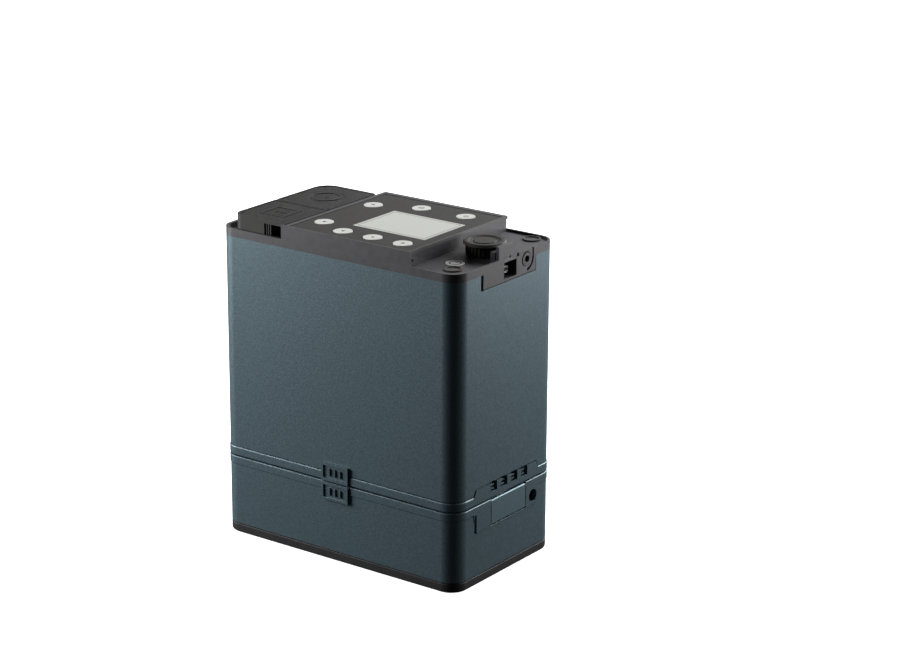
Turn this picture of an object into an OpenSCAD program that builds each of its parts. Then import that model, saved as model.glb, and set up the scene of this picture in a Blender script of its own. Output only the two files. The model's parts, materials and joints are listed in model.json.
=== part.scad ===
/* [Overall] */
// Width of the case, left to right
case_w = 150; // [146:1:156]
// Depth of the case, front to back
case_d = 85; // [84:0.5:88]
// Radius of the four upright corners
corner_r = 9.2; // [8.5:0.1:10]
// Thickness of the metal shells
wall = 2.5; // [2:0.1:3]
// Gap between pieces that move past each other
gap = 0.35; // [0.3:0.05:0.4]

/* [Heights] */
// Height of the seam between battery and main unit
seam_z = 43; // [42.5:0.1:43.5]
// Top of the main metal shell
shell_top_z = 161; // [160:0.5:162]
// Top of the plastic rim
rim_z = 165.3; // [165:0.1:165.6]
// Top of the control panel frame
panel_z = 172.7; // [172.4:0.1:173]
// Top of the socket covers
cover_z = 173; // [172.8:0.1:173.2]

/* [Controls] */
// Diameter of each round key
key_d = 10; // [9:0.1:10.4]
// Travel of a key
key_travel = 0.6; // [0.4:0.1:0.8]
// Diameter of the dial's cap
dial_d = 21.5; // [20:0.5:23]
// Travel of the battery release button
release_travel = 2; // [1.5:0.1:2.5]

/* [Sockets] */
// Bore of the sync jack
jack_d = 3.6; // [3.55:0.01:3.7]
// Bore of the charging socket
charge_d = 6.7; // [6.5:0.1:6.9]

/* [Hidden] */
$fn = 48;

teal = [0.17, 0.24, 0.27];
black = [0.09, 0.09, 0.10];
charcoal = [0.20, 0.20, 0.22];
offwhite = [0.82, 0.83, 0.80];
brass = [0.80, 0.65, 0.35];
steel = [0.65, 0.66, 0.68];
board_green = [0.05, 0.25, 0.15];

half_w = case_w / 2;
half_d = case_d / 2;
inner_w = case_w - 2 * wall;
inner_d = case_d - 2 * wall;
inner_r = corner_r - wall;
seam_gap = 0.9;
battery_top = seam_z - seam_gap / 2;
main_bottom = seam_z + seam_gap / 2;
base_z = 0.2;
base_top = 5;
band_h = 4.4;
band_proud = 0.35;
face_x = half_w + band_proud;

// Wide tabs on the bands: above the seam for the vents, below it for the release button
tab_y0 = -25.3;
tab_y1 = 28.5;
vent_tab_z = 51.2;
latch_tab_z = 28.2;
vent_w = 5.6;
vent_pitch = 8.8;
vent_z0 = 46.6;
vent_h = 5.2;
vent_ys = [for (i = [0:3]) -10.8 + i * vent_pitch];

// Release button window
btn_y0 = -12.8;
btn_y1 = 17;
btn_z0 = 28.8;
charge_y = 23.6;
charge_z = 33.4;
hook_y = 2;

// Pads that straddle the seam on the front and the back
pad_w = 17;
pad_h = 9.8;
pad_proud = 1.4;

// Control panel housing
panel_x0 = -31.6;
panel_x1 = 46.4;
panel_y0 = -half_d;
panel_y1 = 39.9;
frame_left = 2.3;
frame_front = 0.8;
frame_right = 0.7;
frame_back = 3;
undercut = 0.8;
overlay_z = panel_z - 0.3;
overlay_t = 1.2;
deck_z = 164.3;
tray_z = 162.6;
window_x0 = -5.5;
window_x1 = 39.2;
window_y0 = -20.5;
window_y1 = 13.7;

// Keys: one position per key, in the panel's plane
key_pos = [
    [-20.9, 16], [-20.6, -24.4], [-2.5, -32.1], [16.1, -32.1], [34.4, -31.8], [2.5, 25.8], [30, 26.5]
];
dome_top_z = 167.2;
power_pos = [58.7, -21.8];
dial_pos = [60, 1];
plug_r = 4.6;
plug_pos = [[64.3, -31], [64, 35.8]];

// Socket covers, near one first
cover_x0 = -66.2;
cover_x1 = -32;
near_y0 = -40.9;
near_y1 = -7.5;
far_y0 = -6.8;
far_y1 = 32.7;
socket_x = -49;
socket_ys = [-23, 13];
well_w = 22;
well_d = 20;
well_floor_z = 146;
pin_dx = 6;
pin_dy = 5;

// Connector plate on the right face
conn_y0 = -20.8;
conn_y1 = 23.6;
conn_z0 = 153.4;
conn_t = 4;
head_top_z = 162.4;
block_y0 = -8;
block_y1 = 7.3;
block_z = 172;
tab_t = 1.6;
jack_pos = [15.6, 160.7];
groove_r = 6.3;
groove_w = 1.3;
conn_gap = 2;
usb_y0 = -3.6;
usb_y1 = 7;
usb_z0 = 154.6;
usb_z1 = 163;
led_pos = [1.2, 165.3];

case_screws = [for (sx = [-1, 1], sy = [-1, 1]) [sx * 67.3, sy * 34.8]];
top_screws = concat(plug_pos, [[-67.8, -33], [-67.8, 33]]);
lid_z = battery_top - 3.2;
boss_split_z = 157;
cell_r = 9.1;
cell_pitch = 18.4;
cell_z = 16.2;
fan_x = 58;
fan_y = 2;
fan_z = 68;
fan_bore_r = 18.6;
board_z = 56;
cap_r = 14;
cap_h = 70;
cap_xs = [-44, -15, 14];
cap_y = 16;

/* ---------- helpers ---------- */

// Flat rounded rectangle, centred
module rounded(w, d, r) {
    square([w - 2 * r, d], center = true);
    square([w, d - 2 * r], center = true);
    for (sx = [-1, 1], sy = [-1, 1])
        translate([sx * (w / 2 - r), sy * (d / 2 - r)]) circle(r);
}

// Rounded block between two heights
module slab(w, d, r, z0, z1) {
    translate([0, 0, z0]) linear_extrude(z1 - z0) rounded(w, d, r);
}

// Box given by its low and high corners
module box(lo, hi) {
    translate(lo) cube(hi - lo);
}

// Rounded block given by its low and high corners
module round_box(lo, hi, r) {
    translate([(lo[0] + hi[0]) / 2, (lo[1] + hi[1]) / 2, lo[2]])
        linear_extrude(hi[2] - lo[2]) rounded(hi[0] - lo[0], hi[1] - lo[1], r);
}

// Flat rectangle with a radius for each corner: near left, near right, far right, far left
module four_corner(x0, y0, x1, y1, radii) {
    corners = [[x0, y0], [x1, y0], [x1, y1], [x0, y1]];
    difference() {
        translate([x0, y0]) square([x1 - x0, y1 - y0]);
        for (i = [0:3]) translate(corners[i]) rotate(i * 90) difference() {
            translate([-1, -1]) square(radii[i] + 1);
            translate([radii[i], radii[i]]) circle(radii[i]);
        }
    }
}

// Closed moulding round the case: a profile of [outwards from the wall, height] points
module moulding(points) {
    for (side = [0, 1]) rotate(side * 180) {
        translate([half_w - corner_r, half_d - corner_r, 0])
            rotate_extrude(angle = 90) translate([corner_r, 0]) polygon(points);
        translate([-half_w + corner_r, half_d - corner_r, 0])
            rotate([0, 0, 90]) rotate_extrude(angle = 90) translate([corner_r, 0]) polygon(points);
        translate([half_w, half_d - corner_r, 0])
            rotate([90, 0, 0]) linear_extrude(case_d - 2 * corner_r) polygon(points);
        translate([-half_w + corner_r, half_d, 0])
            rotate([90, 0, 90]) linear_extrude(case_w - 2 * corner_r) polygon(points);
    }
}

// Band beside the seam, with its outer edges broken
module band(z0, z1) {
    seam_edge = 0.25;
    outer_edge = 0.4;
    moulding([
        [-1, z0], [band_proud - seam_edge, z0], [band_proud, z0 + seam_edge],
        [band_proud, z1 - outer_edge], [band_proud - outer_edge, z1], [-1, z1]
    ]);
}

// Thin groove that outlines the far edge of a band
module band_groove(z) {
    width = 0.6;
    depth = 1;
    moulding([[-depth, z], [1, z], [1, z + width], [-depth, z + width]]);
}

// Wide tab that the band grows into on the right wall, with its outer corners cut off
module side_tab(z_seam, z_end, grow = 0) {
    cut = 2.4;
    dir = sign(z_end - z_seam);
    z_band = z_seam + dir * (band_h - 0.8);
    translate([half_w - 1, 0, 0]) rotate([90, 0, 90]) linear_extrude(1 + band_proud) polygon([
        [tab_y0 - cut - grow, z_seam + dir * 0.35], [tab_y0 - cut - grow, z_band],
        [tab_y0 - grow, z_end + dir * grow], [tab_y1 - cut + grow, z_end + dir * grow],
        [tab_y1 + grow, z_band], [tab_y1 + grow, z_seam + dir * 0.35]
    ]);
}

// Groove round a tab, in the wall of the main shell
module tab_groove(z_seam, z_end) {
    width = 0.55;
    translate([0.1, 0, 0]) side_tab(z_seam, z_end, width);
}

// Wall tube of the case
module tube(z0, z1) {
    difference() {
        slab(case_w, case_d, corner_r, z0, z1);
        slab(inner_w, inner_d, inner_r, z0 - 1, z1 + 1);
    }
}

// Half of a seam pad, for the front and the back: a rim round a sunk field with upright ribs
module seam_pad(z0, z1, field_z0, field_z1) {
    rim = 1.2;
    pitch = 3.4;
    rib_w = 0.8;
    field_depth = 0.8;
    for (side = [0, 1]) rotate(side * 180) difference() {
        box([-pad_w / 2, -half_d - pad_proud, z0], [pad_w / 2, -half_d + 1, z1]);
        difference() {
            box([rim - pad_w / 2, -half_d - pad_proud - 1, field_z0],
                [pad_w / 2 - rim, -half_d - pad_proud + field_depth, field_z1]);
            for (i = [-1:1]) box([i * pitch - rib_w / 2, -half_d - 3, field_z0 + 1.4],
                [i * pitch + rib_w / 2, -half_d, field_z1 - 1.4]);
        }
    }
}

// Screw bosses at a list of places, each tied to the two walls beside it
module wall_bosses(places, r, z0, z1) {
    web = 1.2;
    for (p = places) difference() {
        union() {
            translate([p[0], p[1], z0]) cylinder(r = r, h = z1 - z0);
            box([min(p[0], sign(p[0]) * (half_w - 1)), p[1] - web, z0],
                [max(p[0], sign(p[0]) * (half_w - 1)), p[1] + web, z1]);
            box([p[0] - web, min(p[1], sign(p[1]) * (half_d - 1)), z0],
                [p[0] + web, max(p[1], sign(p[1]) * (half_d - 1)), z1]);
        }
        translate([p[0], p[1], z0 - 1]) cylinder(r = 1.3, h = z1 - z0 + 2);
    }
}

// Cross-head screw standing on its tip, head up
module screw(z_tip, z_head, r_shank, r_head) {
    head_h = 1.8;
    slot_w = 0.8;
    difference() {
        union() {
            translate([0, 0, z_tip]) cylinder(r = r_shank, h = z_head - z_tip - head_h + 0.01);
            translate([0, 0, z_head - head_h]) cylinder(r = r_head, h = head_h);
        }
        box([-r_head * 0.6, -slot_w / 2, z_head - 1], [r_head * 0.6, slot_w / 2, z_head + 1]);
        box([-slot_w / 2, -r_head * 0.6, z_head - 1], [slot_w / 2, r_head * 0.6, z_head + 1]);
    }
}

/* ---------- battery ---------- */

module battery_shell() {
    color(teal) difference() {
        union() {
            difference() {
                tube(base_top, battery_top);
                band_groove(base_top - 0.1);
            }
            translate([0, 0, 2 * battery_top]) mirror([0, 0, 1])
                band(battery_top, battery_top + band_h);
            side_tab(battery_top, latch_tab_z);
            wall_bosses(case_screws, 3, base_top + 2.5, lid_z);
            seam_pad(seam_z - pad_h, battery_top, seam_z - pad_h + 1.2, battery_top - 1.4);
        }
        box([half_w - wall - 1, btn_y0 - gap, btn_z0 - gap],
            [face_x + 1, btn_y1 + gap, battery_top + 1]);
        // Finger groove at the near end of the tab
        box([half_w - 1, tab_y0 - 1.4, latch_tab_z + 0.4], [half_w + 1, tab_y0, battery_top - band_h]);
        translate([half_w - wall - 1, charge_y, charge_z])
            rotate([0, 90, 0]) cylinder(r = charge_d / 2, h = 8);
    }
}

module battery_base() {
    edge = 1.1;
    rim_edge = 0.3;
    color(black) difference() {
        union() {
            slab(case_w - 2 * edge, case_d - 2 * edge, corner_r - edge, base_z, base_top);
            moulding([
                [-edge - 1, base_top], [-edge - 1, base_z],
                for (a = [0:22.5:90]) [edge * (sin(a) - 1), base_z + edge * (1 - cos(a))],
                [0, base_top - rim_edge], [-rim_edge, base_top]
            ]);
            difference() {
                slab(inner_w - 0.2, inner_d - 0.2, inner_r - 0.1, base_top, base_top + 2.5);
                slab(inner_w - 3, inner_d - 3, inner_r - 1.5, base_top - 0.1, base_top + 3);
            }
            for (p = case_screws) translate([p[0], p[1], base_top - 0.1])
                cylinder(r = 3, h = 2.6);
        }
        for (p = case_screws) translate([p[0], p[1], 0]) {
            cylinder(r = 1.6, h = 8);
            cylinder(r = 2.9, h = 3);
        }
        for (sx = [-1, 1], sy = [-1, 1])
            translate([sx * 50, sy * 30, 0]) cylinder(r = 5.1, h = 1.6);
    }
}

module rubber_feet() {
    color(black) for (sx = [-1, 1], sy = [-1, 1])
        translate([sx * 50, sy * 30, 0]) cylinder(r = 5, h = 1.6);
}

module base_screws() {
    color(steel) for (p = case_screws) translate([p[0], p[1], 0])
        mirror([0, 0, 1]) screw(-14, -1.2, 1.3, 2.8);
}

module battery_lid() {
    plug_h = 8;
    color(charcoal) difference() {
        union() {
            slab(inner_w - 0.2, inner_d - 0.2, inner_r - 0.1, lid_z, battery_top - 0.8);
            round_box([-22, -9, battery_top - 1], [22, 9, battery_top + plug_h], 2);
        }
        for (i = [-1.5:1:1.5])
            box([i * 9 - 1.4, -5, battery_top - 4], [i * 9 + 1.4, 5, battery_top + plug_h + 1]);
        box([67.2, btn_y0 - 1, battery_top - 4], [80, btn_y1 + 1, battery_top + 1]);
    }
}

module cell_cradle() {
    color(charcoal) difference() {
        box([-62, -31, 6.5], [62, 31, 12]);
        for (i = [-3:3]) translate([i * cell_pitch, -40, cell_z])
            rotate([-90, 0, 0]) cylinder(r = cell_r, h = 80);
    }
}

module battery_cells() {
    color([0.10, 0.35, 0.50]) for (i = [-3:3])
        translate([i * cell_pitch, -32.5, cell_z]) rotate([-90, 0, 0]) cylinder(r = cell_r, h = 65);
}

module cell_links() {
    link_t = 0.4;
    reach = cell_pitch / 2 + 3;
    color(steel) for (i = [-2.5, -0.5, 1.5]) {
        translate([i * cell_pitch, 32.5, cell_z]) box([-reach, 0, -3], [reach, link_t, 3]);
        translate([(i + 1) * cell_pitch, -32.5, cell_z]) box([-reach, -link_t, -3], [reach, 0, 3]);
    }
}

module battery_board() {
    color(board_green) union() {
        box([-50, -30, 30], [48, 30, 31.6]);
        for (i = [0:4]) box([-40 + i * 16, 10, 31.5], [-32 + i * 16, 18, 33.5]);
        box([-20, -20, 31.5], [10, -8, 34.5]);
    }
}

module battery_contacts() {
    color(brass) for (i = [-1.5:1:1.5])
        box([i * 9 - 0.5, -4.6, 31.6], [i * 9 + 0.5, 4.6, battery_top - 3.4]);
}

module charge_socket() {
    color(black) translate([half_w - wall, charge_y, charge_z]) rotate([0, -90, 0])
        difference() {
            union() {
                cylinder(r = 4.8, h = 13);
                box([-4.6, -4.6, 3], [4.6, 4.6, 13]);
            }
            translate([0, 0, -1]) cylinder(r = charge_d / 2, h = 9);
            translate([0, 0, 7]) cylinder(r = 2.4, h = 3.5);
        }
}

module charge_pin() {
    color(brass) translate([half_w - wall - 10.5, charge_y, charge_z]) rotate([0, 90, 0])
        cylinder(r = 1, h = 2);
}

module release_button() {
    slope = 0.5;
    color(teal * 1.25) union() {
        rotate([90, 0, 0]) translate([0, 0, -btn_y1]) linear_extrude(btn_y1 - btn_y0)
            polygon([
                [half_w - 1.6, btn_z0], [face_x - slope, btn_z0], [face_x, btn_z0 + slope],
                [face_x, battery_top - 0.4 - slope], [face_x - slope, battery_top - 0.4],
                [half_w - 1.6, battery_top - 0.4]
            ]);
        box([half_w - 4.2, btn_y0 + 4, btn_z0 + 2], [half_w - 1.5, btn_y1 - 4, battery_top - 1.6]);
    }
}

module release_hook() {
    color(steel) union() {
        box([half_w - 5.6, hook_y - 5, btn_z0 + 2], [half_w - 4.2, hook_y + 5, seam_z + 4.5]);
    }
}

module release_spring() {
    color(steel) for (y = [-5, 9]) translate([half_w - 4.2, hook_y + (y - 2), btn_z0 + 5])
        rotate([0, -90, 0]) difference() {
            cylinder(r = 1.8, h = 3.4);
            translate([0, 0, -1]) cylinder(r = 1.2, h = 6);
        }
}

/* ---------- main unit: case ---------- */

// Side vent: an upright slot with three short bars towards the front
module vent(y) {
    x0 = half_w - wall - 1;
    bar = 1.3;
    box([x0, y, vent_z0], [face_x + 1, y + vent_w / 2, vent_z0 + vent_h]);
    for (i = [0:2]) translate([0, 0, vent_z0 + i * (vent_h - bar) / 2])
        box([x0, y - vent_w / 2, 0], [face_x + 1, y + 0.1, bar]);
}

module main_shell() {
    color(teal) difference() {
        union() {
            difference() {
                tube(main_bottom, shell_top_z);
                band_groove(main_bottom + band_h);
                tab_groove(main_bottom, vent_tab_z);
                mirror([1, 0, 0]) tab_groove(main_bottom, vent_tab_z);
            }
            band(main_bottom, main_bottom + band_h);
            side_tab(main_bottom, vent_tab_z);
            mirror([1, 0, 0]) side_tab(main_bottom, vent_tab_z);
            seam_pad(main_bottom, seam_z + pad_h, main_bottom + 1.4, seam_z + pad_h - 1.2);
            wall_bosses(case_screws, 3, 50, 66);
            wall_bosses(top_screws, 3.6, 138, boss_split_z);
        }
        for (side = [0, 1]) mirror([side, 0, 0]) for (y = vent_ys) vent(y);
        box([half_w - wall - 1, conn_y0 - conn_gap, conn_z0 - 0.4],
            [half_w + 1, conn_y1 + 0.4, shell_top_z + 1]);
    }
}

module dock_plate() {
    color(charcoal) difference() {
        union() {
            slab(inner_w - 0.2, inner_d - 0.2, inner_r - 0.1, main_bottom + 0.3, 46.2);
            round_box([-25, -12, 46], [25, 12, 53.4], 2);
            for (p = case_screws) translate([p[0], p[1], 46]) cylinder(r = 3, h = 4);
        }
        for (i = [-1.5:1:1.5]) box([i * 9 - 0.5, -4.2, 50], [i * 9 + 0.5, 4.2, 55]);
        round_box([-23, -10, 40], [23, 10, 51.6], 2.4);
        box([half_w - 6.2 - release_travel, hook_y - 5.6, 40], [half_w - 3.6, hook_y + 5.6, 50]);
        for (p = case_screws) translate([p[0], p[1], 40]) {
            cylinder(r = 1.5, h = 12);
            cylinder(r = 2.8, h = main_bottom + 2.3 - 40);
        }
    }
}

module dock_screws() {
    color(steel) for (p = case_screws) translate([p[0], p[1], 0])
        mirror([0, 0, 1]) screw(-58, -(main_bottom + 0.5), 1.3, 2.7);
}

module dock_contacts() {
    color(brass) for (i = [-1.5:1:1.5])
        box([i * 9 - 0.4, -4, battery_top + 1.8], [i * 9 + 0.4, 4, board_z]);
}

module latch_catch() {
    color(steel) difference() {
        box([half_w - 11, hook_y - 9, 46.2], [half_w - 4, hook_y + 9, 47.2]);
        box([half_w - 6.2 - release_travel, hook_y - 5.6, 45], [half_w, hook_y + 5.6, 49]);
    }
}

module vent_grilles() {
    y0 = vent_ys[0] - vent_pitch / 2;
    y1 = vent_ys[3] + vent_pitch / 2;
    color(black) for (side = [0, 1]) mirror([side, 0, 0]) difference() {
        box([half_w - wall - 1.2, y0, main_bottom + 3.1], [half_w - wall, y1, 53]);
        for (y = [y0 + 2:2.2:y1 - 2])
            box([half_w - wall - 2, y, vent_z0 + 0.4], [half_w, y + 1.2, vent_z0 + vent_h]);
    }
}

module top_cover() {
    lip = 1.2;
    color(charcoal) difference() {
        union() {
            // Rim with its deck, and the skirt that sits inside the shell
            slab(case_w, case_d, corner_r, shell_top_z, rim_z);
            difference() {
                slab(inner_w - 0.2, inner_d - 0.2, inner_r - 0.1, shell_top_z - 3.6, shell_top_z);
                slab(inner_w - 3.4, inner_d - 3.4, inner_r - 1.6, shell_top_z - 4, shell_top_z + 1);
            }
            for (p = top_screws) translate([p[0], p[1], boss_split_z])
                cylinder(r = 3.6, h = tray_z - 1 - boss_split_z);
            // Wall in front of the near socket cover
            box([panel_x0 - 2.2, -half_d, rim_z - 1], [panel_x0, near_y0 - 0.4, panel_z]);
            // Panel housing: body, and the wider frame on top of it
            box([panel_x0, panel_y0, rim_z - 1], [panel_x1 - undercut, panel_y1, panel_z]);
            box([panel_x0, panel_y0, rim_z - 1], [panel_x1, panel_y0 + 1.8, panel_z]);
            box([panel_x0, panel_y0, panel_z - 1.7], [panel_x1, panel_y1, panel_z]);
            translate([panel_x1 - undercut, -38.5, 167.4]) rotate([0, 90, 0])
                cylinder(r = 0.6, h = 0.6);
        }
        // Deck on the right
        difference() {
            slab(case_w - 2 * lip, case_d - 2 * lip, corner_r - lip, deck_z, rim_z + 1);
            box([-half_w, -half_d, 0], [panel_x1 - undercut, half_d, 200]);
        }
        // Tray on the left
        difference() {
            slab(case_w - 4, case_d - 2 * lip, corner_r - 2, tray_z, rim_z + 1);
            box([panel_x0, -half_d, 0], [half_w, half_d, 200]);
        }
        // Strip behind the panel
        box([panel_x0, panel_y1, deck_z], [panel_x1 - undercut, half_d - lip, rim_z + 1]);
        // Room inside the housing
        box([panel_x0 + 2.8, panel_y0 + 1.8, 155],
            [panel_x1 - undercut - 1.5, panel_y1 - 4, overlay_z - overlay_t]);
        // Seat of the overlay
        box([panel_x0 + frame_left, panel_y0 + frame_front, overlay_z - overlay_t],
            [panel_x1 - frame_right, panel_y1 - frame_back, panel_z + 1]);
        // Head sockets
        for (y = socket_ys)
            box([socket_x - 15, y - 13, 150], [socket_x + 15, y + 13, 168]);
        // Power button, dial shaft and screw plugs
        translate([power_pos[0], power_pos[1], 150]) cylinder(r = key_d / 2 + 0.2, h = 30);
        translate([dial_pos[0], dial_pos[1], 150]) cylinder(r = 3.05, h = 20);
        for (p = plug_pos) translate([p[0], p[1], head_top_z + 0.2])
            cylinder(r = plug_r + 0.15, h = 20);
        for (p = top_screws) translate([p[0], p[1], 0]) {
            translate([0, 0, 150]) cylinder(r = 1.6, h = 15);
            translate([0, 0, head_top_z - 1.8]) cylinder(r = 3.1, h = 20);
        }
        // Cut-outs for the connector plate and for the jack behind it
        box([half_w - conn_t, conn_y0, shell_top_z - 1], [half_w + 1, conn_y1, rim_z + 1]);
        box([half_w - 6, conn_y0 - 2, 150], [half_w + 1, conn_y1 + 2, shell_top_z]);
        box([60, jack_pos[0] - 3.4, 150], [half_w, jack_pos[0] + 3.4, jack_pos[1] + 2.9]);
    }
}

module housing_screws() {
    color(steel) for (p = top_screws) translate([p[0], p[1], 0])
        screw(146, head_top_z, 1.3, 2.9);
}

module screw_plugs() {
    color([0.14, 0.13, 0.11]) for (p = plug_pos)
        translate([p[0], p[1], head_top_z + 0.3]) difference() {
            cylinder(r = plug_r, h = deck_z + 0.3 - head_top_z);
            translate([0, 0, deck_z - head_top_z - 0.2]) cylinder(r = plug_r - 0.9, h = 2);
        }
}

/* ---------- main unit: controls ---------- */

module control_overlay() {
    color(charcoal) difference() {
        box([panel_x0 + frame_left, panel_y0 + frame_front, overlay_z - overlay_t],
            [panel_x1 - frame_right, panel_y1 - frame_back, overlay_z]);
        for (p = key_pos) translate([p[0], p[1], 160]) cylinder(r = key_d / 2 + 0.2, h = 20);
        box([window_x0, window_y0, 160], [window_x1, window_y1, 180]);
    }
}

module display_window() {
    color(offwhite) box([window_x0, window_y0, overlay_z - overlay_t],
        [window_x1, window_y1, overlay_z - 0.05]);
}

module display_module() {
    color(steel) union() {
        box([window_x0 - 1.5, window_y0 - 1.5, 167], [window_x1 + 1.5, window_y1 + 1.5, 170.6]);
        box([window_x0 + 4, window_y0 + 4, 164.6], [window_x0 + 8, window_y1 - 4, 167]);
    }
}

module control_board() {
    color(board_green) difference() {
        box([panel_x0 + 3, panel_y0 + 3.5, 163], [panel_x1 - 5, panel_y1 - 4.5, 164.6]);
        for (x = [panel_x0 + 6, panel_x1 - 8], y = [panel_y0 + 6, panel_y1 - 8])
            translate([x, y, 160]) cylinder(r = 1.1, h = 10);
    }
}

module key_mat() {
    color([0.75, 0.75, 0.72]) union() {
        box([panel_x0 + 4, -37.5, 164.6], [-8, 34, 165.8]);
        box([panel_x0 + 4, -37.5, 164.6], [panel_x1 - 6, -26, 165.8]);
        box([panel_x0 + 4, 19, 164.6], [panel_x1 - 6, 34, 165.8]);
        for (p = key_pos) translate([p[0], p[1], 165.6])
            cylinder(r1 = 4, r2 = 2.5, h = dome_top_z - 165.6);
    }
}

// One key: a round cap with a flange under the overlay and a short stem
module key(i) {
    flange_z = overlay_z - overlay_t - 1.6;
    key_top_z = overlay_z + 0.15;
    stem_z = dome_top_z + key_travel + 0.2;
    color(offwhite) translate([key_pos[i][0], key_pos[i][1], 0]) union() {
        translate([0, 0, flange_z]) cylinder(r = key_d / 2 - 0.15, h = key_top_z - flange_z);
        translate([0, 0, flange_z]) cylinder(r = key_d / 2 + 0.6, h = 1.2);
        translate([0, 0, stem_z]) cylinder(r = 2, h = flange_z + 0.1 - stem_z);
    }
}

module power_button() {
    color(offwhite) translate([power_pos[0], power_pos[1], 0]) union() {
        translate([0, 0, 161.4]) cylinder(r = key_d / 2 - 0.15, h = deck_z + 0.2 - 161.4);
        translate([0, 0, 160]) cylinder(r = 2.2, h = 1.6);
    }
}

module power_switch() {
    color(charcoal) translate([power_pos[0], power_pos[1], 0]) union() {
        box([-4.8, -4.8, 154.5], [4.8, 4.8, 158.5]);
        translate([0, 0, 158.4]) cylinder(r = 1.6, h = 0.8);
        box([-8, -4.8, 153], [5, 4.8, 154.6]);
    }
}

module dial_cap() {
    cap_r = dial_d / 2;
    body_r = 9;
    ribs = 30;
    color(black) translate([dial_pos[0], dial_pos[1], 0]) difference() {
        union() {
            rotate_extrude() polygon([
                [0, 164.8], [body_r, 164.8], [body_r, 169.3], [cap_r - 0.5, 169.5],
                [cap_r, 169.9], [cap_r, 170.5], [cap_r - 0.8, 171.3], [cap_r - 2.4, 171.3],
                [cap_r - 2.9, 170.9], [6, 170.7], [5.5, 171.1], [0, 171.1]
            ]);
            for (i = [0:ribs - 1]) rotate(i * 360 / ribs)
                box([body_r - 0.4, -0.4, 164.8], [body_r + 0.5, 0.4, 169.4]);
        }
        translate([0, 0, 160]) cylinder(r = 3, h = 9);
    }
}

module dial_shaft() {
    color(steel) translate([dial_pos[0], dial_pos[1], 156]) cylinder(r = 3, h = 13);
}

module dial_encoder() {
    color([0.12, 0.25, 0.14]) translate([dial_pos[0], dial_pos[1], 0]) difference() {
        box([-5.8, -5.8, 152], [5.8, 5.8, 160.4]);
        translate([0, 0, 155.7]) cylinder(r = 3.05, h = 10);
    }
}

/* ---------- main unit: connectors ---------- */

module connector_plate() {
    lip = 1.2;
    color(charcoal) difference() {
        union() {
            box([half_w - conn_t, conn_y0, conn_z0], [half_w, conn_y1, deck_z]);
            box([half_w - lip, conn_y0, deck_z - 1], [half_w, conn_y1, rim_z]);
            // Raised tab, and the lower block behind it
            box([half_w - tab_t, block_y0, deck_z - 1], [half_w, block_y1, block_z]);
            box([half_w - tab_t - 3.6, block_y0, deck_z], [half_w - tab_t - 0.9, block_y1, 168.9]);
            box([half_w - conn_t, block_y0, deck_z - 1], [half_w, block_y1, deck_z + 0.6]);
        }
        // Groove beside and below the jack, and a small notch at the tab's foot
        translate([half_w - lip, jack_pos[0], jack_pos[1]]) rotate([0, 90, 0]) difference() {
            cylinder(r = groove_r, h = 4);
            translate([0, 0, -1]) cylinder(r = groove_r - groove_w, h = 6);
            box([-20, -20, -1], [0, 20, 5]);
            box([-20, -20, -1], [20, 0.5, 5]);
        }
        box([half_w - lip, jack_pos[0] + groove_r - groove_w, jack_pos[1] - 0.01],
            [half_w + 1, jack_pos[0] + groove_r, rim_z + 1]);
        box([half_w - 2 * lip, block_y1, deck_z - 0.6], [half_w + 1, block_y1 + 1.8, rim_z + 1]);
        // Recess for the USB socket, hole of the light, bore of the jack
        box([half_w - conn_t - 1, usb_y0, usb_z0], [half_w + 1, usb_y1, usb_z1]);
        translate([half_w - tab_t - 1, led_pos[0], led_pos[1]]) rotate([0, 90, 0])
            cylinder(r = 0.8, h = 8);
        translate([half_w - 6, jack_pos[0], jack_pos[1]]) rotate([0, 90, 0]) {
            cylinder(r = 3.55, h = 8);
            translate([0, 0, 4.6]) cylinder(r = 3.95, h = 4);
        }
    }
}

module usb_socket() {
    shell_y = [usb_y0 + 0.5, usb_y0 + 8];
    color(steel) difference() {
        union() {
            box([half_w - 8.6, shell_y[0], 156.4], [half_w - 3.2, shell_y[1], 159.6]);
            box([half_w - 8.8, usb_y0 - 1, usb_z0 - 1], [half_w - 8, usb_y1 + 1, shell_top_z - 0.3]);
        }
        box([half_w - 7.8, shell_y[0] + 0.4, 156.8], [half_w, shell_y[1] - 0.4, 159.2]);
    }
}

module sync_jack() {
    color(black) translate([half_w, jack_pos[0], jack_pos[1]]) rotate([0, 90, 0]) difference() {
        union() {
            translate([0, 0, -3.8]) cylinder(r = 3.5, h = 4.1);
            translate([0, 0, -14]) cylinder(r = 2.8, h = 12);
        }
        translate([0, 0, -12]) cylinder(r = jack_d / 2, h = 14);
    }
}

module status_led() {
    color([0.6, 0.1, 0.1]) translate([half_w - tab_t, led_pos[0], led_pos[1]]) rotate([0, 90, 0])
        cylinder(r = 0.75, h = 1.1);
}

// Head socket: a deep well with a collar on the tray
module head_socket(y) {
    collar_z = 167.6;
    color(black) translate([socket_x, y, 0]) difference() {
        union() {
            box([-14.8, -12.8, tray_z - 0.9], [14.8, 12.8, tray_z + 0.6]);
            box([-13.4, -12.4, well_floor_z - 2], [13.4, 12.4, collar_z]);
        }
        box([-well_w / 2, -well_d / 2, well_floor_z], [well_w / 2, well_d / 2, 200]);
    }
}

module head_socket_a() {
    head_socket(socket_ys[1]);
}

module head_socket_b() {
    head_socket(socket_ys[0]);
}

module head_contacts() {
    color(brass) for (y = socket_ys, sx = [-1, 1], sy = [-1, 1])
        translate([socket_x + sx * pin_dx, y + sy * pin_dy, well_floor_z])
            cylinder(r = 1.2, h = 6);
}

module output_cables() {
    color([0.5, 0.1, 0.1]) for (y = socket_ys, dy = [-4, 4])
        translate([socket_x - 11.6, y + dy, board_z + 1.6])
            cylinder(r = 1.6, h = well_floor_z - 2 - board_z - 1.6);
}

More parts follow.
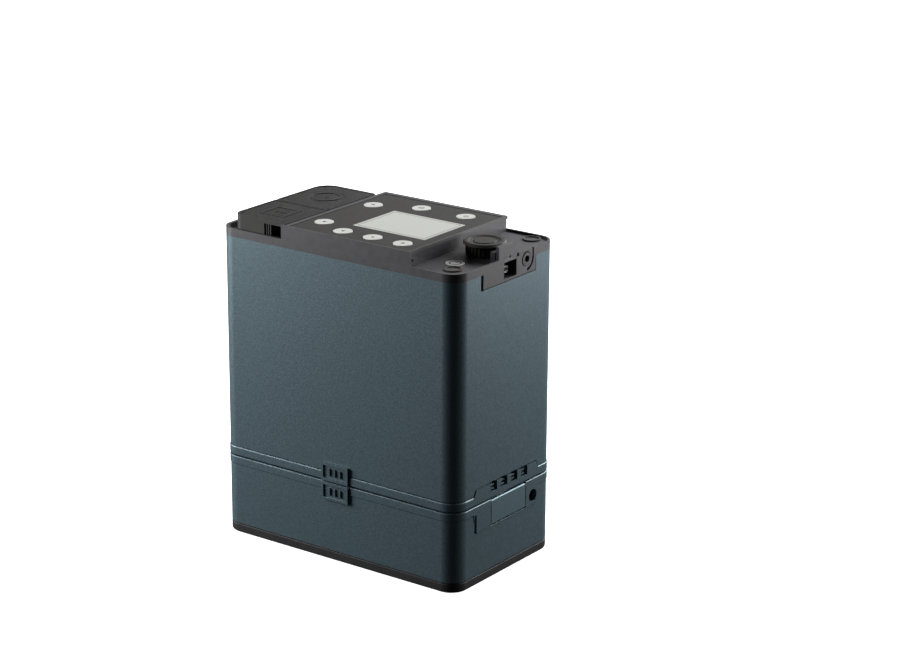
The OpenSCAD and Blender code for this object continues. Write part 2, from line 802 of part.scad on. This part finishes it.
// Lift-off cap over a head socket, its top sunk a little for the grip surface
module socket_cover(y0, y1, sy, radii) {
    skin = 1.8;
    wall_t = 1.6;
    border = 0.9;
    sink = 0.35;
    inner = [for (r = radii) max(r - wall_t, 0.4)];
    field = [for (r = radii) max(r - border, 0.4)];
    difference() {
        translate([0, 0, tray_z + 0.9]) linear_extrude(cover_z - tray_z - 0.9)
            four_corner(cover_x0, y0, cover_x1, y1, radii);
        translate([0, 0, 150]) linear_extrude(cover_z - skin - 150)
            four_corner(cover_x0 + wall_t, y0 + wall_t, cover_x1 - wall_t, y1 - wall_t, inner);
        translate([0, 0, cover_z - sink]) linear_extrude(2)
            four_corner(cover_x0 + border, y0 + border, cover_x1 - border, y1 - border, field);
    }
    // Stopper that closes the well
    difference() {
        box([socket_x - well_w / 2 + gap, sy - well_d / 2 + gap, 161],
            [socket_x + well_w / 2 - gap, sy + well_d / 2 - gap, cover_z - skin + 0.1]);
        box([socket_x - well_w / 2 + 2, sy - well_d / 2 + 2, 160],
            [socket_x + well_w / 2 - 2, sy + well_d / 2 - 2, cover_z - skin]);
    }
}

module socket_cover_a() {
    color(black) socket_cover(far_y0, far_y1, socket_ys[1], [0.7, 0.7, 1.5, 9]);
}

module socket_cover_b() {
    color(black) difference() {
        socket_cover(near_y0, near_y1, socket_ys[0], [5, 0.7, 0.7, 0.7]);
        // Finger notch in the front wall, with ribs in its left end
        difference() {
            box([-46, near_y0 - 1, 165], [-33.7, near_y0 + 3, 171]);
            for (i = [0:2]) box([-45.2 + i * 1.3, near_y0 + 0.5, 164], [-44.6 + i * 1.3,
                near_y0 + 1.6, 172]);
        }
    }
}

/* ---------- main unit: power parts ---------- */

module power_board() {
    color(board_green) box([-64, -28.5, board_z], [52, 28.5, board_z + 1.6]);
}

module flash_capacitors() {
    color([0.08, 0.10, 0.25]) for (x = cap_xs, sy = [-1, 1])
        translate([x, sy * cap_y, board_z + 1.6]) cylinder(r = cap_r, h = cap_h);
}

module capacitor_plate() {
    color(charcoal) difference() {
        box([-58.8, -31, 118], [29, 31, 120]);
        for (x = cap_xs, sy = [-1, 1]) translate([x, sy * cap_y, 110]) cylinder(r = cap_r + 0.05, h = 20);
    }
}

module transformer() {
    color([0.25, 0.22, 0.15]) union() {
        box([34, -24, board_z + 1.6], [50, -4, board_z + 24]);
        box([32.5, -20, board_z + 5], [51.5, -8, board_z + 20]);
    }
}

module heat_sink() {
    color(steel) union() {
        box([34, 4, board_z + 1.6], [50, 26, board_z + 5]);
        for (i = [0:4]) box([34, 4 + i * 5, board_z + 4.9], [50, 6 + i * 5, board_z + 24]);
    }
}

module fan_frame() {
    half = 20;
    color(black) translate([fan_x, fan_y, fan_z]) rotate([0, 90, 0]) difference() {
        union() {
            difference() {
                box([-half, -half, 0], [half, half, 10]);
                translate([0, 0, -1]) cylinder(r = fan_bore_r, h = 12);
            }
            intersection() {
                union() {
                    box([-half, -1, 0], [half, 1, 1.5]);
                    box([-1, -half, 0], [1, half, 1.5]);
                    cylinder(r = 8, h = 1.5);
                    cylinder(r = 3, h = 2.6);
                }
                cylinder(r = fan_bore_r + 0.5, h = 10);
            }
        }
        translate([0, 0, -1]) cylinder(r = 1.05, h = 12);
    }
}

module fan_rotor() {
    blades = 7;
    color([0.15, 0.15, 0.16]) translate([fan_x, fan_y, fan_z]) rotate([0, 90, 0]) union() {
        translate([0, 0, 3.2]) cylinder(r = 8, h = 6.2);
        translate([0, 0, 0.2]) cylinder(r = 1, h = 4);
        for (i = [0:blades - 1]) rotate(i * 360 / blades) translate([7.5, 0, 6.2])
            rotate([35, 0, 0]) box([0, -3, -0.5], [10, 3, 0.5]);
    }
}

module ribbon_cable() {
    color([0.55, 0.55, 0.58]) box([31, -7, board_z + 1.6], [31.5, 7, 163]);
}

battery_shell();
battery_base();
rubber_feet();
base_screws();
battery_lid();
cell_cradle();
battery_cells();
cell_links();
battery_board();
battery_contacts();
charge_socket();
charge_pin();
release_button();
release_hook();
release_spring();
main_shell();
dock_plate();
dock_screws();
dock_contacts();
latch_catch();
vent_grilles();
top_cover();
housing_screws();
screw_plugs();
control_overlay();
display_window();
display_module();
control_board();
key_mat();
key(0);  // key_up_a
key(1);  // key_down_a
key(2);  // key_left
key(3);  // key_enter
key(4);  // key_right
key(5);  // key_menu
key(6);  // key_test
power_button();
dial_cap();
dial_shaft();
dial_encoder();
connector_plate();
usb_socket();
sync_jack();
status_led();
head_socket_a();
head_socket_b();
head_contacts();
output_cables();
socket_cover_a();
socket_cover_b();
power_board();
flash_capacitors();
capacitor_plate();
transformer();
heat_sink();
fan_frame();
fan_rotor();
ribbon_cable();
power_switch();
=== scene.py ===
"""Looks of the battery flash power pack: materials, printed marks, grip, small parts and studio."""
import json
import math

import bmesh
import bpy
from mathutils import Matrix, Vector


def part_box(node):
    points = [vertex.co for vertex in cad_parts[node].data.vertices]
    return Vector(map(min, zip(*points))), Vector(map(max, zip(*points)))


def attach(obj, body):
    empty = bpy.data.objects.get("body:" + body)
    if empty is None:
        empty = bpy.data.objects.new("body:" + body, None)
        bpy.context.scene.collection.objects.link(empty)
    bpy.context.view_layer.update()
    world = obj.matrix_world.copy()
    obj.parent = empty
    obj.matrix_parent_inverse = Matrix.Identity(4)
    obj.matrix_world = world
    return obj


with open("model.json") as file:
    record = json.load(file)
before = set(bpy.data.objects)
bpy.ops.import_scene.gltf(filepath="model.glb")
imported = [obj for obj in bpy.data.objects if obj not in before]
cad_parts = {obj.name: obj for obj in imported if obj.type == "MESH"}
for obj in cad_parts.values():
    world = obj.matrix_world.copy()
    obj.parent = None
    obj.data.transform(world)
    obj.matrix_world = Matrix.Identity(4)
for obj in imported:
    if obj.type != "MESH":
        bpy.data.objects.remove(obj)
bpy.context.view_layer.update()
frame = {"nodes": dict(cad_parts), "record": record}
nodes = frame["nodes"]
MM = 0.001


# ---------- materials ----------

def new_material(name, color, roughness, metallic=0.0, coat=0.0, specular=0.5):
    """A Principled material with its constants on the shader's own sockets."""
    mat = bpy.data.materials.new(name)
    mat.use_nodes = True
    shader = mat.node_tree.nodes["Principled BSDF"]
    shader.inputs["Base Color"].default_value = (*color, 1.0)
    shader.inputs["Roughness"].default_value = roughness
    shader.inputs["Metallic"].default_value = metallic
    shader.inputs["Coat Weight"].default_value = coat
    shader.inputs["Specular IOR Level"].default_value = specular
    return mat, shader


def coordinates(mat):
    return mat.node_tree.nodes.new("ShaderNodeTexCoord").outputs["Object"]


def noise(mat, scale, detail=2.0, rough=0.5):
    """Noise in metres of object space: scale is bumps per metre."""
    tree = mat.node_tree
    node = tree.nodes.new("ShaderNodeTexNoise")
    node.inputs["Scale"].default_value = scale
    node.inputs["Detail"].default_value = detail
    node.inputs["Roughness"].default_value = rough
    tree.links.new(coordinates(mat), node.inputs["Vector"])
    return node.outputs["Fac"]


def ramp(mat, factor, stops):
    """Colour ramp over a factor; stops are (position, colour) pairs."""
    tree = mat.node_tree
    node = tree.nodes.new("ShaderNodeValToRGB")
    elements = node.color_ramp.elements
    while len(elements) < len(stops):
        elements.new(0.5)
    for element, (position, color) in zip(elements, stops):
        element.position = position
        element.color = (*color, 1.0)
    tree.links.new(factor, node.inputs["Fac"])
    return node.outputs["Color"]


def remap(mat, factor, low, high):
    """A factor of 0 to 1 spread over low to high."""
    tree = mat.node_tree
    node = tree.nodes.new("ShaderNodeMapRange")
    node.inputs["To Min"].default_value = low
    node.inputs["To Max"].default_value = high
    tree.links.new(factor, node.inputs["Value"])
    return node.outputs["Result"]


def bump(mat, shader, factor, distance, strength=1.0):
    tree = mat.node_tree
    node = tree.nodes.new("ShaderNodeBump")
    node.inputs["Distance"].default_value = distance
    node.inputs["Strength"].default_value = strength
    tree.links.new(factor, node.inputs["Height"])
    tree.links.new(node.outputs["Normal"], shader.inputs["Normal"])


def shade(color, factor):
    return tuple(c * factor for c in color)


def grained(name, color, roughness, grain, depth, spread=0.12, **more):
    """Moulded plastic or rubber: fine grain bump, slight change of tone and of gloss.

    grain is in bumps per metre, depth in metres, spread is the change of tone.
    """
    mat, shader = new_material(name, color, roughness, **more)
    tone = noise(mat, grain / 12, 3)
    tree = mat.node_tree
    tree.links.new(
        ramp(mat, tone, [(0.3, shade(color, 1 - spread)), (0.7, shade(color, 1 + spread))]),
        shader.inputs["Base Color"])
    tree.links.new(remap(mat, tone, roughness - 0.06, roughness + 0.08), shader.inputs["Roughness"])
    bump(mat, shader, noise(mat, grain, 2), depth)
    return mat


def metallic_paint(name, color, spread):
    """Satin metallic paint: fine flakes in the colour, a little orange peel."""
    mat, shader = new_material(name, color, 0.4, metallic=0.4)
    tree = mat.node_tree
    flakes = noise(mat, 1500, 1, 0.6)
    tree.links.new(
        ramp(mat, flakes, [(0.28, shade(color, 1 - spread)), (0.5, color),
                           (0.74, shade(color, 1 + 1.6 * spread))]),
        shader.inputs["Base Color"])
    tree.links.new(remap(mat, flakes, 0.36, 0.5), shader.inputs["Roughness"])
    bump(mat, shader, noise(mat, 900, 2), 0.00004)
    return mat


def metal(name, color, roughness):
    """Plain metal with fine uneven gloss."""
    mat, shader = new_material(name, color, roughness, metallic=1.0)
    mat.node_tree.links.new(
        remap(mat, noise(mat, 700, 3), roughness - 0.08, roughness + 0.12),
        shader.inputs["Roughness"])
    return mat


def display_glass():
    """Grey reflective display with a very fine unevenness."""
    dark, light = (0.495, 0.505, 0.47), (0.545, 0.555, 0.515)
    mat, shader = new_material("display_glass", (0.52, 0.53, 0.495), 0.4, coat=0.1)
    mat.node_tree.links.new(
        ramp(mat, noise(mat, 2500, 1), [(0.35, dark), (0.65, light)]),
        shader.inputs["Base Color"])
    return mat


TEAL = (0.077, 0.119, 0.141)
CHARCOAL = (0.042, 0.040, 0.045)
MATERIALS = {
    "teal_paint": metallic_paint("teal_paint", TEAL, 0.16),
    "button_paint": metallic_paint("button_paint", shade(TEAL, 1.3), 0.16),
    "base_plastic": grained("base_plastic", (0.022, 0.022, 0.024), 0.6, 2600, 0.00003,
                            specular=0.25),
    "rubber": grained("rubber", (0.030, 0.028, 0.024), 0.7, 3000, 0.00004),
    "screw_steel": metal("screw_steel", (0.48, 0.48, 0.50), 0.32),
    "case_plastic": grained("case_plastic", CHARCOAL, 0.44, 3200, 0.00003, 0.08),
    "cell_metal": grained("cell_metal", (0.06, 0.20, 0.36), 0.3, 900, 0.00001),
    "circuit_board": grained("circuit_board", (0.015, 0.12, 0.06), 0.35, 1500, 0.00002, 0.25),
    "contact_brass": metal("contact_brass", (0.80, 0.60, 0.28), 0.22),
    "socket_plastic": grained("socket_plastic", (0.016, 0.016, 0.017), 0.45, 2600, 0.00003),
    "overlay_film": grained("overlay_film", (0.027, 0.026, 0.024), 0.55, 4200, 0.00002, 0.06,
                            specular=0.2),
    "display_glass": display_glass(),
    "display_metal": metal("display_metal", (0.62, 0.62, 0.63), 0.3),
    "silicone": grained("silicone", (0.55, 0.55, 0.52), 0.6, 1500, 0.00002),
    "key_white": grained("key_white", (0.60, 0.61, 0.575), 0.38, 2600, 0.00001, 0.04),
    "dial_black": grained("dial_black", (0.030, 0.029, 0.026), 0.68, 2600, 0.00004,
                          specular=0.2),
    "led_lens": grained("led_lens", (0.02, 0.006, 0.006), 0.15, 1200, 0.00001),
    "cover_rubber": grained("cover_rubber", (0.015, 0.015, 0.014), 0.6, 3200, 0.00003,
                            specular=0.3),
    "capacitor_sleeve": grained("capacitor_sleeve", (0.015, 0.02, 0.09), 0.25, 900, 0.00001),
    "cable_red": grained("cable_red", (0.28, 0.02, 0.015), 0.35, 1200, 0.00001),
    "cable_grey": grained("cable_grey", (0.35, 0.35, 0.37), 0.45, 2000, 0.00002),
    "core_metal": grained("core_metal", (0.14, 0.10, 0.05), 0.4, 900, 0.00006, 0.3),
    "fin_aluminium": metal("fin_aluminium", (0.55, 0.56, 0.57), 0.35),
}

slot_of = {s["node"]: s["material_slot"] for s in frame["record"]["subparts"]}


def set_material(obj, name):
    obj.data.materials.clear()
    obj.data.materials.append(MATERIALS[name])


# ---------- edges of the CAD pieces ----------

BEVEL_ANGLE = math.radians(35)
WELD_DISTANCE = 0.01 * MM

# Width of the rounded edge of each visible node, in millimetres
EDGES = {
    "battery_shell": 0.15, "battery_base": 0.3, "release_button": 0.25, "main_shell": 0.15,
    "top_cover": 0.35, "control_overlay": 0.1, "connector_plate": 0.25, "socket_cover_a": 0.25,
    "socket_cover_b": 0.25, "power_button": 0.3, "dial_cap": 0.15, "head_socket_a": 0.3,
    "head_socket_b": 0.3, "battery_lid": 0.3, "dock_plate": 0.3, "screw_plugs": 0.2,
}
for name in [n for n in nodes if n.startswith("key_") and n != "key_mat"]:
    EDGES[name] = 0.25


def soften_edges(obj, width):
    """Rounds the sharp edges and shades flat faces flat and round ones smooth."""
    for polygon in obj.data.polygons:
        polygon.use_smooth = True
    weld = obj.modifiers.new("weld", "WELD")
    weld.merge_threshold = WELD_DISTANCE
    bevel = obj.modifiers.new("edge", "BEVEL")
    bevel.width = width
    bevel.segments = 2
    bevel.limit_method = "ANGLE"
    bevel.angle_limit = BEVEL_ANGLE
    bevel.use_clamp_overlap = True
    normals = obj.modifiers.new("normals", "WEIGHTED_NORMAL")
    normals.mode = "FACE_AREA_WITH_ANGLE"
    normals.weight = 80
    normals.keep_sharp = False


for name, obj in nodes.items():
    set_material(obj, slot_of[name])
    if name in EDGES:
        soften_edges(obj, EDGES[name] * MM)


# ---------- mesh helpers, all in metres ----------

def add_piece(name, bm, slot, body, smooth=False):
    """Turns a bmesh into a piece that rides on a body."""
    bmesh.ops.recalc_face_normals(bm, faces=bm.faces)
    mesh = bpy.data.meshes.new(name)
    bm.to_mesh(mesh)
    bm.free()
    for polygon in mesh.polygons:
        polygon.use_smooth = smooth
    obj = bpy.data.objects.new(name, mesh)
    bpy.context.scene.collection.objects.link(obj)
    set_material(obj, slot)
    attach(obj, body)
    return obj


def prism(bm, outline, z0, z1):
    """Upright prism over an outline of (x, y) points."""
    low = [bm.verts.new((x, y, z0)) for x, y in outline]
    high = [bm.verts.new((x, y, z1)) for x, y in outline]
    bm.faces.new(low[::-1])
    bm.faces.new(high)
    count = len(outline)
    for i in range(count):
        k = (i + 1) % count
        bm.faces.new((low[i], low[k], high[k], high[i]))


def bar(bm, x0, y0, x1, y1, z0, z1):
    prism(bm, [(x0, y0), (x1, y0), (x1, y1), (x0, y1)], z0, z1)


def arc_band(bm, center, inner, outer, start, end, z0, z1, steps=32):
    """Flat band along an arc, start and end in degrees; a whole ring where they are 360 apart."""
    closed = abs(end - start) >= 360
    count = steps if closed else steps + 1
    rows = []
    for i in range(count):
        a = math.radians(start + (end - start) * i / steps)
        x, y = math.cos(a), math.sin(a)
        rows.append([bm.verts.new((center[0] + r * x, center[1] + r * y, z))
                     for r, z in ((inner, z0), (outer, z0), (outer, z1), (inner, z1))])
    for i in range(count if closed else count - 1):
        here, there = rows[i], rows[(i + 1) % count]
        for k in range(4):
            m = (k + 1) % 4
            bm.faces.new((here[k], here[m], there[m], there[k]))
    if not closed:
        bm.faces.new(rows[0])
        bm.faces.new(rows[-1][::-1])


def lathe_x(bm, center, profile, steps=32):
    """Closed ring about an axis along X: profile of (x, radius) points."""
    rows = []
    for i in range(steps):
        a = 2 * math.pi * i / steps
        rows.append([bm.verts.new((x, center[0] + r * math.cos(a), center[1] + r * math.sin(a)))
                     for x, r in profile])
    for i in range(steps):
        here, there = rows[i], rows[(i + 1) % steps]
        for k in range(len(profile)):
            m = (k + 1) % len(profile)
            bm.faces.new((here[k], here[m], there[m], there[k]))


def frame_outline(bm, x0, y0, x1, y1, width, z0, z1):
    """Rectangular frame made of four bars that meet without overlap."""
    bar(bm, x0, y0, x1, y0 + width, z0, z1)
    bar(bm, x0, y1 - width, x1, y1, z0, z1)
    bar(bm, x0, y0 + width, x0 + width, y1 - width, z0, z1)
    bar(bm, x1 - width, y0 + width, x1, y1 - width, z0, z1)


# ---------- grip surface of the socket covers ----------

GRIP_PITCH = 1.3 * MM
GRIP_HEIGHT = 0.33 * MM
GRIP_FILL = 0.46  # half width of a pyramid, as a share of the pitch
COVER_BORDER = 0.9 * MM
COVER_SINK = 0.35 * MM
MARK_GAP = 0.03 * MM  # how far the embossed figures stay below the cover's top
FIGURE_CLEARANCE = 1.5 * MM


def inside_rounded(x, y, lo, hi, radii):
    """Whether a point is inside a rectangle whose left corners (near, far) are rounded."""
    near, far = radii
    for cy, radius, side in ((lo[1] + near, near, -1), (hi[1] - far, far, 1)):
        dx = lo[0] + radius - x
        dy = (y - cy) * side
        if dx > 0 and dy > 0 and math.hypot(dx, dy) > radius:
            return False
    return True


def cover_grip(name, node, body, radii, figure):
    """Fine pyramids over the sunk field of a cover, leaving room for an embossed figure among them.
    """
    lo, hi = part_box(node)
    lo = [lo[0] + COVER_BORDER, lo[1] + COVER_BORDER]
    top = hi[2]
    hi = [hi[0] - COVER_BORDER, hi[1] - COVER_BORDER]
    radii = [max(r * MM - COVER_BORDER, 0) for r in radii]
    floor = top - COVER_SINK
    half = GRIP_PITCH * GRIP_FILL
    center = Vector(((lo[0] + hi[0]) / 2, (lo[1] + hi[1]) / 2))
    bm = bmesh.new()
    columns = int((hi[0] - lo[0]) / GRIP_PITCH)
    rows = int((hi[1] - lo[1]) / GRIP_PITCH)
    for i in range(columns):
        for k in range(rows):
            x = lo[0] + (i + 0.5) * (hi[0] - lo[0]) / columns
            y = lo[1] + (k + 0.5) * (hi[1] - lo[1]) / rows
            outward = (x - half * 1.4, y + math.copysign(half * 1.4, y - center.y))
            if not inside_rounded(*outward, lo, hi, radii):
                continue
            if figure(Vector((x, y)) - center):
                continue
            base = [bm.verts.new((x + sx * half, y + sy * half, floor))
                    for sx, sy in ((-1, -1), (1, -1), (1, 1), (-1, 1))]
            tip = bm.verts.new((x, y, floor + GRIP_HEIGHT))
            bm.faces.new(base[::-1])
            for m in range(4):
                bm.faces.new((base[m], base[(m + 1) % 4], tip))
    add_piece(name, bm, "cover_rubber", body)


def near_square(size):
    """Tells whether a point lies on or close to a square outline or the bar inside it."""
    def hit(p):
        reach = max(abs(p.x), abs(p.y))
        on_bar = abs(p.y) < 1.3 * MM and abs(p.x) < size * 0.5
        return abs(reach - size) < FIGURE_CLEARANCE or on_bar
    return hit


def near_ring(size):
    """Tells whether a point lies on or close to a ring or the dot inside it."""
    def hit(p):
        return abs(p.length - size) < FIGURE_CLEARANCE or p.length < 1.6 * MM
    return hit


def cover_figures():
    """Grip and figures: a square with a bar on the near cover, a ring with a dot on the far one."""
    line = 0.55 * MM
    near_size, far_size = 7 * MM, 7.5 * MM
    cover_grip("cover_grip_b", "socket_cover_b", "cover_b", (5, 0.7), near_square(near_size))
    cover_grip("cover_grip_a", "socket_cover_a", "cover_a", (0.7, 9), near_ring(far_size))
    for node, body, name in (("socket_cover_b", "cover_b", "cover_mark_b"),
                             ("socket_cover_a", "cover_a", "cover_mark_a")):
        lo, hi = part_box(node)
        cx, cy = (lo[0] + hi[0]) / 2, (lo[1] + hi[1]) / 2
        z0, z1 = hi[2] - COVER_SINK, hi[2] - MARK_GAP
        bm = bmesh.new()
        if node == "socket_cover_b":
            frame_outline(bm, cx - near_size - line, cy - near_size - line,
                          cx + near_size + line, cy + near_size + line, 2 * line, z0, z1)
            bar(bm, cx - near_size / 2, cy - line, cx + near_size / 2, cy + line, z0, z1)
        else:
            arc_band(bm, (cx, cy), far_size - line, far_size + line, 0, 360, z0, z1, 48)
            arc_band(bm, (cx, cy), 0.2 * MM, 1.1 * MM, 0, 360, z0, z1, 20)
        add_piece(name, bm, "cover_rubber", body)


cover_figures()


# ---------- printed marks on the keys and the display ----------

INK_T = 0.04 * MM  # half the thickness of a printed mark


def triangle(bm, cx, cy, turn, size, z0, z1):
    """Even-sided triangle with one corner towards turn, in degrees."""
    points = []
    for i in range(3):
        a = math.radians(turn + 120 * i)
        points.append((cx + size * math.cos(a), cy + size * math.sin(a)))
    prism(bm, points, z0, z1)


def key_mark(bm, shape, cx, cy, z0, z1):
    """One small generic mark centred on a key."""
    r = 1.3 * MM
    turns = {"right": 0, "up": 90, "left": 180, "down": 270}
    if shape in turns:
        triangle(bm, cx, cy, turns[shape], r, z0, z1)
    elif shape == "square":
        frame_outline(bm, cx - r, cy - r, cx + r, cy + r, 0.4 * MM, z0, z1)
    elif shape == "ring":
        arc_band(bm, (cx, cy), r - 0.45 * MM, r, 0, 360, z0, z1)
    else:
        arc_band(bm, (cx, cy), 0.1 * MM, 0.8 * MM, 0, 360, z0, z1, 20)


KEY_MARKS = {
    "key_up_a": "up", "key_down_a": "down", "key_left": "left", "key_enter": "dot",
    "key_right": "right", "key_menu": "square", "key_test": "ring",
}
for name, shape in KEY_MARKS.items():
    lo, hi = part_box(name)
    bm = bmesh.new()
    key_mark(bm, shape, (lo[0] + hi[0]) / 2, (lo[1] + hi[1]) / 2, hi[2] - INK_T, hi[2] + INK_T)
    add_piece(name + "_mark", bm, "socket_plastic", name)


def power_mark():
    """Open ring with an upright bar."""
    lo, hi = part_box("power_button")
    cx, cy = (lo[0] + hi[0]) / 2, (lo[1] + hi[1]) / 2
    z0, z1 = hi[2] - INK_T, hi[2] + INK_T
    bm = bmesh.new()
    arc_band(bm, (cx, cy), 2.45 * MM, 3.15 * MM, 115, 425, z0, z1, 48)
    bar(bm, cx - 0.3 * MM, cy + 0.8 * MM, cx + 0.3 * MM, cy + 3.3 * MM, z0, z1)
    add_piece("power_mark", bm, "socket_plastic", "power_button")


def display_frame():
    """Fine line round the display's field."""
    lo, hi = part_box("display_window")
    inset = 1.6 * MM
    bm = bmesh.new()
    frame_outline(bm, lo[0] + inset, lo[1] + inset, hi[0] - inset, hi[1] - inset, 0.3 * MM,
                  hi[2] - INK_T, hi[2] + INK_T / 2)
    add_piece("display_line", bm, "case_plastic", "main_unit")


power_mark()
display_frame()


# ---------- small parts in the sockets ----------

def usb_tongue():
    """Insulated tongue of the USB socket with its five contacts."""
    lo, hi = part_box("usb_socket")
    x1 = hi[0] - 0.4 * MM
    y = lo[1] + 5.25 * MM
    z = 158.3 * MM
    contact_pitch = 0.8 * MM
    bm = bmesh.new()
    bar(bm, x1 - 3.6 * MM, y - 2.2 * MM, x1, y + 2.2 * MM, z, z + 0.6 * MM)
    add_piece("usb_tongue", bm, "socket_plastic", "main_unit")
    bm = bmesh.new()
    for i in range(5):
        yc = y + (i - 2) * contact_pitch
        bar(bm, x1 - 3 * MM, yc - 0.2 * MM, x1 - 0.2 * MM, yc + 0.2 * MM, z - 0.06 * MM, z)
    add_piece("usb_contacts", bm, "contact_brass", "main_unit")


def jack_ring():
    """Rounded lip at the mouth of the sync jack."""
    lo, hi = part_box("sync_jack")
    y, z = (lo[1] + hi[1]) / 2, (lo[2] + hi[2]) / 2
    x = hi[0]
    bm = bmesh.new()
    lathe_x(bm, (y, z), [(x - 0.05 * MM, 1.85 * MM), (x + 0.02 * MM, 1.95 * MM),
                         (x + 0.03 * MM, 2.35 * MM), (x - 0.05 * MM, 2.5 * MM)])
    add_piece("jack_ring", bm, "case_plastic", "main_unit", smooth=True)


def led_dome():
    """Domed end of the status light."""
    lo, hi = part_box("status_led")
    y, z, radius = (lo[1] + hi[1]) / 2, (lo[2] + hi[2]) / 2, (hi[1] - lo[1]) / 2
    bm = bmesh.new()
    height = 0.25 * MM
    foot, hole = 0.05 * MM, 0.02 * MM
    profile = [(hi[0] - foot, hole), (hi[0] - foot, radius)]
    for a in (20, 40, 60, 80):
        turn = math.radians(a)
        profile.append((hi[0] + height * math.sin(turn), radius * math.cos(turn)))
    profile.append((hi[0] + height, hole))
    lathe_x(bm, (y, z), profile, 20)
    add_piece("led_dome", bm, "led_lens", "main_unit", smooth=True)


usb_tongue()
jack_ring()
led_dome()


# ---------- studio ----------

def white_floor():
    """Plain white floor just below the feet, bright enough to need no backdrop."""
    size = 8.0
    z = -0.1 * MM
    corners = [(-size, -size, z), (size, -size, z), (size, size, z), (-size, size, z)]
    mesh = bpy.data.meshes.new("floor")
    mesh.from_pydata(corners, [], [(0, 1, 2, 3)])
    floor = bpy.data.objects.new("floor", mesh)
    bpy.context.scene.collection.objects.link(floor)
    mat, shader = new_material("floor", (0.86, 0.86, 0.86), 0.7)
    shader.inputs["Emission Color"].default_value = (1, 1, 1, 1)
    shader.inputs["Emission Strength"].default_value = 0.95
    floor.data.materials.append(mat)
    floor.visible_diffuse = False
    floor.visible_glossy = False


def softbox(name, azimuth, elevation, distance, width, height, power):
    """Area light aimed at the middle of the pack; azimuth 0 is in front, 90 on the right."""
    target = Vector((0, 0, 0.09))
    a, e = math.radians(azimuth), math.radians(elevation)
    back = Vector((math.sin(a) * math.cos(e), -math.cos(a) * math.cos(e), math.sin(e)))
    data = bpy.data.lights.new(name, "AREA")
    data.shape = "RECTANGLE"
    data.size = width
    data.size_y = height
    data.energy = power
    light = bpy.data.objects.new(name, data)
    light.location = target + back * distance
    light.rotation_euler = (-back).to_track_quat("-Z", "Y").to_euler()
    bpy.context.scene.collection.objects.link(light)


def studio():
    """Two low side lights, a light from behind and a dim card that the gloss picks up."""
    white_floor()
    softbox("light_left", -60, 16, 0.65, 0.35, 0.4, 7.5)
    softbox("light_right", 140, 14, 0.6, 0.3, 0.35, 3.5)
    softbox("light_back", 176, 26, 1.5, 0.8, 0.5, 34)
    softbox("light_card", -146, 20, 1.5, 1.0, 0.6, 1.6)
    world = bpy.data.worlds.new("studio")
    world.use_nodes = True
    background = world.node_tree.nodes["Background"]
    background.inputs["Color"].default_value = (1, 1, 1, 1)
    background.inputs["Strength"].default_value = 0.035
    bpy.context.scene.world = world
    bpy.context.scene.view_settings.view_transform = "Standard"


def camera():
    """Long lens from the front right, slightly above."""
    data = bpy.data.cameras.new("camera")
    data.sensor_width = 36
    data.lens = 107.33
    cam = bpy.data.objects.new("camera", data)
    right = Vector((0.80542, 0.59270, 0.00473))
    up = Vector((-0.18524, 0.24413, 0.95190))
    back = right.cross(up)
    turn = Matrix((right, up, back)).transposed().to_4x4()
    cam.matrix_world = Matrix.Translation((0.7959, -1.0307, 0.5325)) @ turn
    bpy.context.scene.collection.objects.link(cam)
    bpy.context.scene.camera = cam


camera()
studio()
